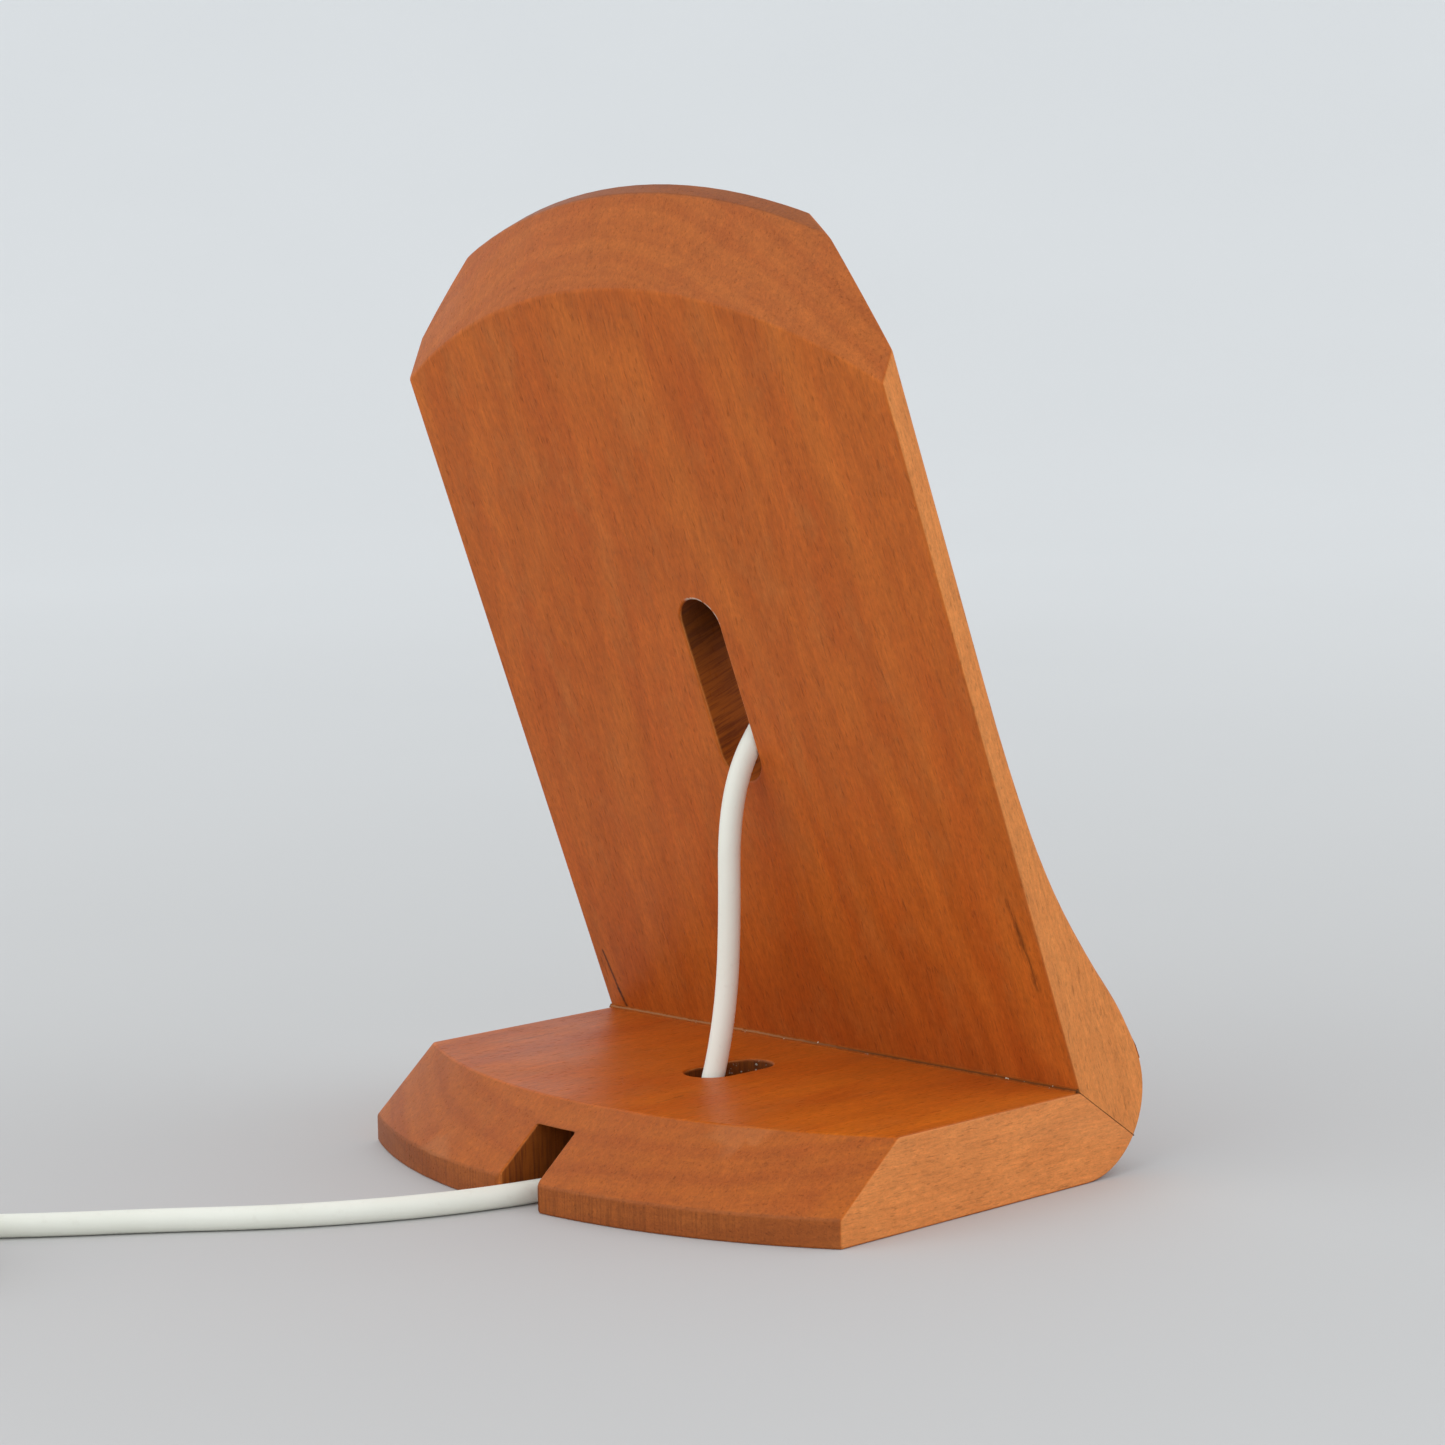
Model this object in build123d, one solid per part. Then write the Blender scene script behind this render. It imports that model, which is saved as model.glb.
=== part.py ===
from build123d import *
import os
from math import sin, cos, tan, radians, degrees, pi, sqrt, asin, atan2

# Leaning phone stand: two boards of equal stock mitred and glued at the toe,
# a magnetic charging puck let into the phone side, and its lead fed through
# a slot in the upright, a slot in the base and a groove under the base.
# Row frame: +Z up, phone side faces -Y, base runs back to +Y, millimetres.

# ---------------------------------------------------------------- dimensions
W = 90.0            # board width
T = 12.3            # base board thickness
TU = 12.3           # upright board thickness
LEAN = 20.5         # upright leans back from vertical, degrees
BASE_TOP = 33.6     # inner corner to the top edge of the base bevel, at the sides
BASE_LOW = 44.0     # inner corner to the end face of the base, at the sides
BASE_STRIP = 3.7    # height left on the end face under the bevel
UP_LOW = 98.5       # inner corner to the lower edge of the top bevel, at the sides
UP_TOP = 108.0      # inner corner to the end face of the upright, at the sides
UP_BEV = 9.3        # depth of the top bevel
SAG = 12.7          # rise of every end arc over the width
TOE_R = 11.2        # rounding of the outer corner
XC = 0.75           # slots are a touch off the middle
SLOT_W = 7.3
SLOT_LO, SLOT_HI = 40.9, 67.6      # upright slot, along the board
BSLOT_LO, BSLOT_HI = 11.9, 25.7    # base slot, along the board
GROOVE_H = 9.3      # height of the groove under the base
GROOVE_LO = 9.5
SIDE_R, SLOPE_R = 3.2, 0.53        # side face left and slope of the phone-side chamfer, -X edge
SIDE_L, SLOPE_L = 4.35, 0.58       # the same at the +X edge
END_TILT = 0.06     # the top end face rises a little towards the phone side
FILM = 0.12         # glue film in the mitre
BEAD = 0.55         # glue bead in the inner corner
DOWEL_R, DOWEL_L = 2.0, 9.6
PUCK_R, PUCK_T = 28.0, 5.0
PUCK_V = 86.0       # puck centre, along the upright
POCKET_R, POCKET_D = 28.3, 5.2
PAD_T = 0.2
CORD_D = 3.0
CORD_Z = 1.52       # centre height of the lead on the table

th = radians(LEAN)
s_, c_ = sin(th), cos(th)
END_R = ((W / 2) ** 2 + SAG ** 2) / (2 * SAG)
# toe circle, tangent to the underside and to the phone face
TCZ = TOE_R
TCY = -((TU - TOE_R) - (TCZ - T) * s_) / c_
YMAX = BASE_LOW + SAG
YMIN = TCY - TOE_R
Y0 = -(YMAX + YMIN) / 2          # shift that puts the origin under the box centre


def P(y, z):                      # side-plane point, inner corner at y = 0
    return (y + Y0, z)


PL = Plane(origin=(0, Y0, T), x_dir=(1, 0, 0), z_dir=(0, -c_, s_))  # local x, along board, depth


def up(obj):
    return PL.location * obj


def box(x0, x1, y0, y1, z0, z1):
    return Pos((x0 + x1) / 2, (y0 + y1) / 2, (z0 + z1) / 2) * Box(x1 - x0, y1 - y0, z1 - z0)


def cyl(r, z0, z1, x=0.0, y=0.0):
    return Pos(x, y, (z0 + z1) / 2) * Cylinder(r, z1 - z0)


def slot_solid(x, y0, y1, w, z0, z1):
    r = w / 2
    b = box(x - r, x + r, y0 + r, y1 - r, z0, z1)
    return b + cyl(r, z0, z1, x, y0 + r) + cyl(r, z0, z1, x, y1 - r)


def side_face(pts_builder):
    """Face in the Y-Z plane at x = -W/2 (local x = Y, local y = Z)."""
    return Plane(origin=(-W / 2, 0, 0), x_dir=(0, 1, 0), z_dir=(1, 0, 0)).location * pts_builder


# mitre: from the inner corner outward along the bisector
bis = Vector(0, -(1 + s_), -c_).normalized()
mn = Vector(0, -c_, 1 + s_).normalized()      # normal of the mitre plane, to the upright side
# outer end of the mitre on the toe circle
_dx, _dz = 0 - TCY, T - TCZ
_b = _dx * bis.Y + _dz * bis.Z
_q = _dx * _dx + _dz * _dz - TOE_R ** 2
MLEN = -_b + sqrt(_b * _b - _q)
MY, MZ = MLEN * bis.Y, T + MLEN * bis.Z


def circ(a):                      # point of the toe circle at angle a (degrees)
    return P(TCY + TOE_R * cos(radians(a)), TCZ + TOE_R * sin(radians(a)))


A_M = degrees(atan2(MZ - TCZ, MY - TCY)) % 360
A_PH = degrees(atan2(s_, -c_)) % 360          # tangent point on the phone face

# ---------------------------------------------------------------- base board
e1 = Line(P(0, T), P(MY, MZ))
e2 = ThreePointArc(P(MY, MZ), circ((A_M + 270) / 2), circ(270))
e3 = Line(circ(270), P(70, 0))
e4 = Line(P(70, 0), P(70, T))
e5 = Line(P(70, T), P(0, T))
base = side_face(make_face(Wire([e1, e2, e3, e4, e5])))
base = extrude(base, amount=W, dir=(1, 0, 0))


def end_cutter(yc):               # region beyond the end arc, in the X-Y plane
    cy = yc + SAG - END_R
    h = sqrt(END_R ** 2 - 50.0 ** 2)
    a = ThreePointArc((-50, cy + h), (0, cy + END_R), (50, cy + h))
    return make_face(Wire([a, Line((50, cy + h), (50, cy + 140)), Line((50, cy + 140), (-50, cy + 140)),
                           Line((-50, cy + 140), (-50, cy + h))]))


base -= extrude(Pos(0, Y0, -1) * end_cutter(BASE_LOW), amount=T + 2, dir=(0, 0, 1))
run = BASE_LOW - BASE_TOP
rise = T - BASE_STRIP
k = 1.5
bev_dir = Vector(0, -run, rise)
base -= extrude(Pos(0, Y0, BASE_STRIP) * end_cutter(BASE_LOW), amount=bev_dir.length * k, dir=tuple(bev_dir.normalized()))
base -= slot_solid(XC, BSLOT_LO + Y0, BSLOT_HI + Y0, SLOT_W, GROOVE_H - 1, T + 1)
base -= slot_solid(XC, BSLOT_LO + Y0, BSLOT_HI + Y0 + 1.2, SLOT_W, GROOVE_H - 1, GROOVE_H + 1.2)   # eased where the lead turns under
base -= box(XC - SLOT_W / 2, XC + SLOT_W / 2, GROOVE_LO + Y0, 80 + Y0, -1, GROOVE_H)
# half the glue film comes off each mitre face
MP = Plane(origin=(0, Y0, T), x_dir=(1, 0, 0), z_dir=tuple(mn))
film_slab = MP.location * Pos(0, 0, 0) * Box(W + 4, 120, FILM)
base -= film_slab

# ---------------------------------------------------------------- upright board
f1 = Line(P(0, T), P(MY, MZ))
f2 = ThreePointArc(P(MY, MZ), circ((A_M + A_PH) / 2), circ(A_PH))


def uv(v, d):                     # side-plane point from board coordinates
    return P(v * s_ - d * c_, T + v * c_ + d * s_)


vt = 135.0
tp = circ(A_PH)
f3 = Line(tp, uv(vt, TU))
f4 = Line(uv(vt, TU), uv(vt, 0))
f5 = Line(uv(vt, 0), P(0, T))
upright = side_face(make_face(Wire([f1, f2, f3, f4, f5])))
upright = extrude(upright, amount=W, dir=(1, 0, 0))
tilt = Vector(0, END_TILT, 1)
upright -= up(extrude(Pos(0, -END_TILT, UP_BEV - 1) * end_cutter(UP_TOP), amount=(TU - UP_BEV + 3) * tilt.length,
                      dir=tuple(tilt.normalized())))
bev = Vector(0, -(UP_TOP - UP_LOW), -UP_BEV)
upright -= up(extrude(Pos(0, 0, UP_BEV) * end_cutter(UP_TOP), amount=bev.length * k, dir=tuple(bev.normalized())))


# phone-side chamfers that run out towards the toe in a long cove
def run_out(side, slope, sgn):
    pts = [(0.2, 12.12), (2.6, 11.72), (5.1, 11.25), (7.7, 10.6), (10.4, 9.72), (13.2, 8.75), (15.8, 7.95),
           (21.0, 6.48), (26.0, 5.33), (30.7, 4.55), (35.3, 4.02), (39.7, 3.70), (44.0, 3.46), (50.0, 3.27),
           (56.0, 3.2)]
    m = (side - 3.2) / (12.0 - 3.2)
    pts = [(v, d + m * (12.0 - d) if d < 12.0 else d) for v, d in pts]
    y_side = pts[-1][1]
    loc = [(v, d) for v, d in pts]
    sp = Spline(*[(0, v, d) for v, d in loc], tangents=[(0, 1, -0.09), (0, 1, 0)])
    l1 = Line((0, loc[-1][0], y_side), (0, 150, y_side))
    l2 = Line((0, 150, y_side), (0, 150, 40))
    l3 = Line((0, 150, 40), (0, -8, 40))
    l4 = Line((0, -8, 40), (0, -8, loc[0][1] + 0.09 * 8.2))
    l5 = Line((0, -8, loc[0][1] + 0.09 * 8.2), (0, loc[0][0], loc[0][1]))
    face = make_face(Wire([sp, l1, l2, l3, l4, l5]))
    d = Vector(-sgn * 1.0, 0, slope).normalized()
    start = Pos(sgn * (W / 2 + 2.0), 0, -2.0 * slope) * face
    return extrude(start, amount=45.0, dir=tuple(d))


upright -= up(run_out(SIDE_R, SLOPE_R, -1))
upright -= up(run_out(SIDE_L, SLOPE_L, 1))
upright -= up(slot_solid(XC, SLOT_LO, SLOT_HI, SLOT_W, -2, TU + 2))
upright -= up(cyl(POCKET_R, TU - POCKET_D, TU + 3, XC, PUCK_V))
upright -= film_slab

# ---------------------------------------------------------------- glue and dowels
inside = extrude(side_face(make_face(Wire([
    Line(P(0, T), P(40, T)), Line(P(40, T), P(40, 0)), Line(P(40, 0), circ(270)),
    ThreePointArc(circ(270), circ((270 + A_PH) / 2), circ(A_PH)),
    Line(circ(A_PH), uv(40, TU)), Line(uv(40, TU), uv(40, 0)), Line(uv(40, 0), P(0, T))]))), amount=W, dir=(1, 0, 0))
film = (MP.location * Box(W + 4, 120, FILM)) & inside
bead_face = side_face(make_face(Wire([Line(P(0, T), P(BEAD, T)), Line(P(BEAD, T), uv(BEAD, 0)),
                                      Line(uv(BEAD, 0), P(0, T))])))
bead = extrude(bead_face, amount=W, dir=(1, 0, 0))
glue = film + bead

dowel_xs = (-27.0, 0.0, 27.0)
dm = 6.5                            # distance of the dowels from the inner corner along the mitre
dowels = []
for dx in dowel_xs:
    c = Vector(dx, Y0 + dm * bis.Y, T + dm * bis.Z)
    dp = Plane(origin=tuple(c), x_dir=(1, 0, 0), z_dir=tuple(mn))
    dowels.append(dp.location * chamfer(Cylinder(DOWEL_R, DOWEL_L).edges().filter_by(GeomType.CIRCLE), 0.35))
    hole = dp.location * Cylinder(DOWEL_R + 0.04, DOWEL_L + 0.8)
    base -= hole
    upright -= hole
    glue -= hole
dowel_group = Compound(children=dowels)

# ---------------------------------------------------------------- charging puck
zf = TU - POCKET_D                  # pocket floor
pad = up(cyl(26.0, zf, zf + PAD_T, XC, PUCK_V) - cyl(5.0, zf - 1, zf + 1, XC, PUCK_V))
z0 = zf + PAD_T
shell = Cylinder(PUCK_R, PUCK_T)
shell = fillet(shell.edges().filter_by(GeomType.CIRCLE).group_by(Axis.Z)[0], 0.9)
shell = Pos(XC, PUCK_V, z0 + PUCK_T / 2) * shell
shell -= cyl(26.8, z0 + 0.8, z0 + PUCK_T + 1, XC, PUCK_V)
GL = radians(-3.0)                  # the lead leaves the rim turned a little to -X
gdir = Vector(sin(GL), -cos(GL), 0)
gz = z0 + 2.45
gx0, gv0 = XC + gdir.X * PUCK_R, PUCK_V + gdir.Y * PUCK_R
GLEN = 4.6
GP = Plane(origin=(gx0, gv0, gz), x_dir=(0, 0, 1), z_dir=tuple(gdir))
gland_hole = GP.location * (Pos(0, 0, -1.0) * Cylinder(1.43, 4.0))
shell -= gland_hole
shell_node = up(shell)
gl = GP.location * (Pos(0, 0, GLEN / 2) * Cone(2.05, 1.62, GLEN))
gland = gl - cyl(PUCK_R + 0.02, z0 - 1, z0 + PUCK_T + 1, XC, PUCK_V)
gland = gland + (GP.location * (Pos(0, 0, -0.1) * Cylinder(1.4, 2.6)))
for i in range(3):                  # flex slits round the relief
    gg = GP.location * (Pos(0, 0, 1.5 + i * 0.95) * (Cylinder(2.4, 0.35) - Cylinder(1.45, 1.0)))
    gland -= gg
gland_node = up(gland)
face_disc = cyl(26.7, z0 + 3.9, z0 + PUCK_T + 0.12, XC, PUCK_V)
face_disc = fillet(face_disc.edges().filter_by(GeomType.CIRCLE).group_by(Axis.Z)[-1], 0.35)
face_node = up(face_disc)
mags = []
NM = 18
for i in range(NM):
    a0 = 360.0 / NM * i + 1.2
    a1 = 360.0 / NM * (i + 1) - 1.2
    if i == 13:
        continue                    # the gap in the ring faces the lead
    r0, r1 = 23.2, 26.2
    mid = radians((a0 + a1) / 2)
    A0, A1 = radians(a0), radians(a1)
    w = Wire([ThreePointArc((r1 * cos(A0), r1 * sin(A0)), (r1 * cos(mid), r1 * sin(mid)), (r1 * cos(A1), r1 * sin(A1))),
              Line((r1 * cos(A1), r1 * sin(A1)), (r0 * cos(A1), r0 * sin(A1))),
              ThreePointArc((r0 * cos(A1), r0 * sin(A1)), (r0 * cos(mid), r0 * sin(mid)), (r0 * cos(A0), r0 * sin(A0))),
              Line((r0 * cos(A0), r0 * sin(A0)), (r1 * cos(A0), r1 * sin(A0)))])
    mags.append(up(Pos(XC, PUCK_V, z0 + 1.5) * extrude(make_face(w), amount=2.2, dir=(0, 0, 1))))
magnet_ring = Compound(children=mags)
board = up(cyl(21.5, z0 + 0.95, z0 + 1.55, XC, PUCK_V) - cyl(2.0, z0, z0 + 3, XC, PUCK_V))
ferrite = up(cyl(22.0, z0 + 1.7, z0 + 2.3, XC, PUCK_V))
coil_w = up(cyl(21.0, z0 + 2.4, z0 + 3.5, XC, PUCK_V) - cyl(10.5, z0, z0 + 5, XC, PUCK_V))

# ---------------------------------------------------------------- lead
def loc_pt(x, v, d):                # board coordinates to the row frame
    return (x, v * s_ - d * c_ + Y0, T + v * c_ + d * s_)


tipx, tipv = gx0 + gdir.X * GLEN, gv0 + gdir.Y * GLEN
route = [
    loc_pt(tipx, tipv, gz),
    loc_pt(tipx + gdir.X * 2.5, tipv + gdir.Y * 2.5, gz),
    loc_pt(-1.12, 48.95, 7.5),
    loc_pt(-1.22, 47.95, 3.6),
    loc_pt(-1.3, 44.1, -2.45),
    (-1.25, 19.8 + Y0, 45.0),
    (-1.1, 19.8 + Y0, 34.5),
    (-0.88, 20.2 + Y0, 24.2),
    (-0.62, 21.75 + Y0, 15.4),
    (-0.45, 24.2 + Y0, 8.2),
    (-0.35, 28.4 + Y0, 3.0),
    (-0.2, 35.2 + Y0, 1.52),
    (0.1, 44.0 + Y0, 1.52),
    (1.35, 53.6 + Y0, 1.52),
    (4.2, 63.6 + Y0, 1.52),
    (8.9, 73.6 + Y0, 1.52),
    (16.0, 84.4 + Y0, 1.52),
    (25.6, 95.0 + Y0, 1.52),
    (34.0, 105.6 + Y0, 1.52),
    (44.6, 116.8 + Y0, 1.52),
    (53.5, 128.4 + Y0, 1.52),
]
print("route", [tuple(round(a, 2) for a in p) for p in route])


def round_route(pts, f=0.45):
    radii = []
    for i in range(1, len(pts) - 1):
        a, b, c = Vector(*pts[i - 1]), Vector(*pts[i]), Vector(*pts[i + 1])
        u, w = b - a, c - b
        turn = u.get_angle(w)
        radii.append(f * min(u.length, w.length) / tan(radians(turn / 2)))
        print(f"  point {i}: run {u.length:.1f} turn {turn:.1f} radius {radii[-1]:.1f}")
    return radii


radii = round_route(route)
path = FilletPolyline(*route, radius=radii)
sec = Plane(origin=path @ 0, z_dir=path % 0) * Circle(CORD_D / 2)
lead = sweep(sec, path=path)
print("lead length", round(path.length, 2), "volume", round(lead.volume, 2), "section x length",
      round(pi * (CORD_D / 2) ** 2 * path.length, 2))

# put-away length: a tied coil of eight turns beside the line of the lead
h0 = (Vector(*route[-1]) - Vector(*route[-2])).normalized()
COIL_R = 15.75                      # middle of the turns
PITCH = 3.1
CC = Vector(*route[-1]) + Vector(-h0.Y, h0.X, 0) * (COIL_R + PITCH)
CC = Vector(CC.X, CC.Y, 0)
A_IN = degrees(atan2(route[-1][1] - CC.Y, route[-1][0] - CC.X))
print("coil centre", CC, "entry angle", round(A_IN, 2))
ROUT, RIN, CTOP = COIL_R + PITCH + 1.55, COIL_R - PITCH - 1.55, 9.35
coil = cyl(ROUT, 0.05, CTOP, CC.X, CC.Y) - cyl(RIN, -1, CTOP + 1, CC.X, CC.Y)
coil = fillet(coil.edges().filter_by(GeomType.CIRCLE).group_by(Axis.Z)[-1], 1.2)
A_TIE = 125.0
TP = Plane(origin=(CC.X, CC.Y, 0), x_dir=(cos(radians(A_TIE)), sin(radians(A_TIE)), 0), z_dir=(0, 0, 1))


def tie_loop(t0, t1, w):            # band round the turns: inside at t0, outside at t1
    o = box(RIN - 0.2 - t1, ROUT + t1, -w / 2, w / 2, max(0.0, 0.55 - t1), CTOP + t1)
    i = box(RIN - 0.2 - t0, ROUT + t0, -w, w, 0.55 - t0, CTOP + t0)
    return o - i


tie = tie_loop(0.06, 0.56, 4.0)
tie = tie + box(ROUT + 0.5, ROUT + 2.1, -2.4, 2.4, 2.6, 6.6)
tie = tie + box(ROUT + 0.5, ROUT + 1.05, -2.0, 2.0, 0.6, 2.7)
tie = TP.location * tie
coil -= TP.location * (box(RIN - 2, ROUT + 2, -2.05, 2.05, -1, 0.62))

# tail: off the top of the coil, down beside it to the plug
A_OUT = 10.0


def pol(a, r, z):
    return (CC.X + r * cos(radians(a)), CC.Y + r * sin(radians(a)), z)


tail_route = [pol(A_OUT, 15.75, 7.8), pol(A_OUT + 26, 17.6, 7.75), pol(A_OUT + 49, 20.9, 6.6), pol(A_OUT + 69, 23.6, 4.2),
              pol(A_OUT + 87, 25.0, 3.15)]
t_end = Vector(*tail_route[-1])
aa = radians(A_OUT + 87 + 84)
tdir = Vector(cos(aa), sin(aa), 0)
tail_route.append(tuple(t_end + tdir * 7.0))
print("tail")
tr = round_route(tail_route)
tpath = FilletPolyline(*tail_route, radius=tr)
tail = sweep(Plane(origin=tpath @ 0, z_dir=tpath % 0) * Circle(CORD_D / 2), path=tpath)
print("tail length", round(tpath.length, 2))
lead = lead - coil
tail = tail - coil


def keep_main(sh):
    ss = sorted(sh.solids(), key=lambda q: q.volume)
    return ss[-1]


lead = keep_main(lead)
tail = keep_main(tail)

# plug: moulded boot, housing and metal shell, lying flat
e_pt, e_dir = tpath @ 1, tpath % 1
QP = Plane(origin=tuple(e_pt), x_dir=(-e_dir.Y, e_dir.X, 0), z_dir=tuple(e_dir))
boot = Pos(0, 0, 4.5) * Cone(1.75, 2.35, 9.0)
for i in range(4):
    boot -= Pos(0, 0, 1.3 + 1.7 * i) * (Cylinder(3, 0.6) - Cylinder(1.62, 2))
boot = QP.location * boot
HZ0, HL, HW, HT = 9.0, 18.5, 12.2, 6.2
hs = Pos(0, 0, HZ0 + HL / 2) * extrude(RectangleRounded(HW, HT, 2.9), amount=HL / 2, both=True)
hs = fillet(hs.edges().group_by(Axis.Z)[0] + hs.edges().group_by(Axis.Z)[-1], 0.7)
mouth = Pos(0, 0, HZ0 + HL - 2.0) * extrude(RectangleRounded(8.34, 2.56, 1.27), amount=4.0)
housing = QP.location * (hs - mouth)
SHL = 6.65
sh_o = Pos(0, 0, HZ0 + HL - 2.0) * extrude(RectangleRounded(8.3, 2.5, 1.24), amount=SHL + 2.0)
sh_i = Pos(0, 0, HZ0 + HL - 0.2) * extrude(RectangleRounded(7.7, 1.9, 0.94), amount=SHL + 2.0)
tongue = Pos(0, 0, HZ0 + HL - 0.2) * extrude(RectangleRounded(7.66, 1.86, 0.92) - Rectangle(6.9, 0.78), amount=5.9)
plug_shell = QP.location * (sh_o - sh_i)
plug_insert = QP.location * tongue
print("plug from", QP.origin, "dir", e_dir)

os.makedirs("parts", exist_ok=True)
nodes = {
    "base_board": base,
    "upright_board": upright,
    "mitre_glue": glue,
    "mitre_dowels": dowel_group,
    "puck_pad": pad,
    "puck_shell": shell_node,
    "puck_face": face_node,
    "puck_magnets": magnet_ring,
    "puck_circuit_board": board,
    "puck_ferrite": ferrite,
    "puck_coil": coil_w,
    "lead_strain_relief": gland_node,
    "lead": lead,
    "lead_coil": coil,
    "lead_tail": tail,
    "lead_tie": tie,
    "plug_boot": boot,
    "plug_housing": housing,
    "plug_shell": plug_shell,
    "plug_insert": plug_insert,
}
for name, shape in nodes.items():
    export_step(shape, f"parts/{name}.step")
    bb = shape.bounding_box()
    print(name, len(shape.solids()), round(shape.volume, 2), [round(v, 2) for v in (*bb.min, *bb.max)])
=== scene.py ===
import bpy, bmesh, math
import numpy as np
from mathutils import Matrix, Vector
from mathutils.bvhtree import BVHTree


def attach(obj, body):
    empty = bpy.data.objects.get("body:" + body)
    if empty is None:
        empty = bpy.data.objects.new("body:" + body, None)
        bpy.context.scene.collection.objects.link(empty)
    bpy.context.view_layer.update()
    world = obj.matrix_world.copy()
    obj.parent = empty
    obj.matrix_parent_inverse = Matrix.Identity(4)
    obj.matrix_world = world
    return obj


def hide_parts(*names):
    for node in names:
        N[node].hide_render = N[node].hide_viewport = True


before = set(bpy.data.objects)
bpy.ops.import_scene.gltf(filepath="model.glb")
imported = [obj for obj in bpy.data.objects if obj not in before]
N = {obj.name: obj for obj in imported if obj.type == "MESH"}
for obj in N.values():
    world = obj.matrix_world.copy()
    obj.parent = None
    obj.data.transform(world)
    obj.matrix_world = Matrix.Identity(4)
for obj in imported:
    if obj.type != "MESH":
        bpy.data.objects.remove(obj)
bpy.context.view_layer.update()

MM = 0.001

# ------------------------------------------------------------------ layout (same numbers as the CAD source)
W, T, TU, LEAN = 90.0, 12.3, 12.3, 20.5
BASE_TOP, BASE_LOW, BASE_STRIP = 33.6, 44.0, 3.7
UP_LOW, UP_TOP, UP_BEV = 98.5, 108.0, 9.3
SAG, TOE_R, XC, SLOT_W = 12.7, 11.2, 0.75, 7.3
th = math.radians(LEAN)
s_, c_ = math.sin(th), math.cos(th)
TCZ = TOE_R
TCY = -((TU - TOE_R) - (TCZ - T) * s_) / c_
Y0 = -((BASE_LOW + SAG) + (TCY - TOE_R)) / 2
PUCK_V, PUCK_R = 86.0, 28.0
Z0 = TU - 5.2 + 0.2                      # underside of the puck, in board depth

def board(x, v, d):                      # upright board coordinates (mm) to the row frame (m)
    return Vector((x, v * s_ - d * c_ + Y0, T + v * c_ + d * s_)) * MM

# upright board frame: x across, y along, z through to the phone side
UPM = Matrix(((1, 0, 0, 0), (0, s_, -c_, Y0 * MM), (0, c_, s_, T * MM), (0, 0, 0, 1)))

# ------------------------------------------------------------------ camera
scn = bpy.context.scene
cam_d = bpy.data.cameras.new("camera")
cam = bpy.data.objects.new("camera", cam_d)
scn.collection.objects.link(cam)
right = Vector((-0.69084102, -0.72271679, -0.02047257))
up = Vector((0.07017375, -0.09520711, 0.99298099))
back = Vector((-0.71959317, 0.68455536, 0.11648873))
cpos = Vector((-367.219, 368.707 + Y0, 118.507)) * MM
cam.matrix_world = Matrix(((right.x, up.x, back.x, cpos.x), (right.y, up.y, back.y, cpos.y),
                           (right.z, up.z, back.z, cpos.z), (0, 0, 0, 1)))
cam_d.sensor_width = 36.0
cam_d.lens = 3850.094 / 1445 * 36.0
cam_d.clip_start = 0.01
scn.camera = cam

# ------------------------------------------------------------------ lead
GL = math.radians(-3.0)
gdx, gdv = math.sin(GL), -math.cos(GL)
gz = Z0 + 2.45
tipx, tipv = XC + gdx * (PUCK_R + 4.6), PUCK_V + gdv * (PUCK_R + 4.6)

def bp(x, v, d):
    p = board(x, v, d) / MM
    return (p.x, p.y, p.z)

route = [
    bp(tipx, tipv, gz),
    bp(tipx + gdx * 2.5, tipv + gdv * 2.5, gz),
    bp(-1.12, 48.95, 7.5),
    bp(-1.22, 47.95, 3.6),
    bp(-1.3, 44.1, -2.45),
    (-1.25, 19.8 + Y0, 45.0),
    (-1.1, 19.8 + Y0, 34.5),
    (-0.88, 20.2 + Y0, 24.2),
    (-0.62, 21.75 + Y0, 15.4),
    (-0.45, 24.2 + Y0, 8.2),
    (-0.35, 28.4 + Y0, 3.0),
    (-0.2, 35.2 + Y0, 1.52),
    (0.1, 44.0 + Y0, 1.52),
    (1.35, 53.6 + Y0, 1.52),
    (4.2, 63.6 + Y0, 1.52),
    (8.9, 73.6 + Y0, 1.52),
    (16.0, 84.4 + Y0, 1.52),
    (25.6, 95.0 + Y0, 1.52),
    (34.0, 105.6 + Y0, 1.52),
    (44.6, 116.8 + Y0, 1.52),
    (53.5, 128.4 + Y0, 1.52),
]
h0 = (Vector(route[-1]) - Vector(route[-2])).normalized()
COIL_R, PITCH = 15.75, 3.1
CC = Vector(route[-1]) + Vector((-h0.y, h0.x, 0)) * (COIL_R + PITCH)
A_IN = math.degrees(math.atan2(route[-1][1] - CC.y, route[-1][0] - CC.x))
A_OUT, A_TIE = 10.0, 125.0

def pol(a, r, z):
    a = math.radians(a)
    return (CC.x + r * math.cos(a), CC.y + r * math.sin(a), z)

# eight turns, one layer on another: radius and height at each whole turn
stops = [(0.0, 18.85, 1.55), (0.8, 18.85, 1.55), (1.1, 15.75, 1.55), (1.8, 15.7, 1.55), (2.1, 12.7, 1.55), (2.8, 12.7, 1.6),
         (3.1, 12.8, 4.65), (3.8, 12.8, 4.65), (4.1, 15.8, 4.65), (4.8, 15.8, 4.65), (5.1, 18.8, 4.65), (5.8, 18.8, 4.7),
         (6.15, 17.6, 7.65), (6.85, 17.5, 7.7), (7.15, 14.3, 7.7), (7.8, 14.3, 7.75), (8.0 + 47.5 / 360, 15.6, 7.75)]
turns_end = 8.0 + (A_OUT - A_IN - 0.0) / 360.0
stops[-1] = (turns_end, 15.6, 7.75)
PER = 14
coil = []
n = int(turns_end * PER)
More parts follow.
